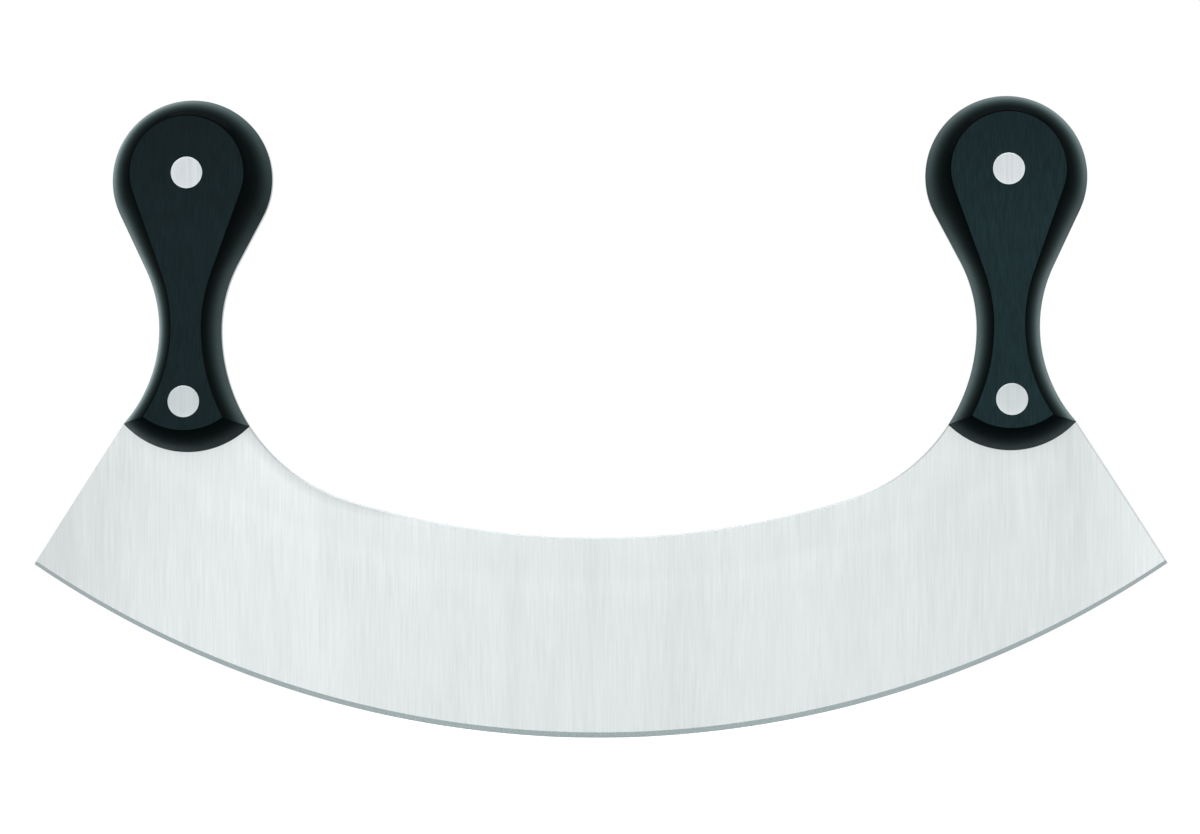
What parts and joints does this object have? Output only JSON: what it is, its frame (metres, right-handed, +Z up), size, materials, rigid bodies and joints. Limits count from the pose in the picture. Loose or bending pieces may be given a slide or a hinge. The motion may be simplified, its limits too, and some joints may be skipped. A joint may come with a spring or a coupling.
{
  "type": "mezzaluna",
  "caption": "Crescent-bladed rocking knife with an upright riveted handle at each end, for chopping herbs by rolling the curved edge on a board.",
  "frame": {"origin": "lowest point of the cutting edge, midway between the tips and midway through the blade", "axes": "+X along the blade from left tip to right tip, +Y to the rear, +Z up from the edge to the knobs"},
  "size_m": [0.25, 0.018, 0.1413],
  "materials": {
    "blade_steel": "satin, brushed from back to edge",
    "handle_plastic": "polished sides with a finely brushed flat face",
    "rivet_steel": "brushed level with the handle's flat face"
  },
  "bodies": {
    "root": {"blade": "blade_steel", "left_front_scale": "handle_plastic", "left_rear_scale": "handle_plastic", "right_front_scale": "handle_plastic", "right_rear_scale": "handle_plastic", "left_upper_rivet": "rivet_steel", "left_lower_rivet": "rivet_steel", "right_upper_rivet": "rivet_steel", "right_lower_rivet": "rivet_steel"}
  },
  "joints": []
}
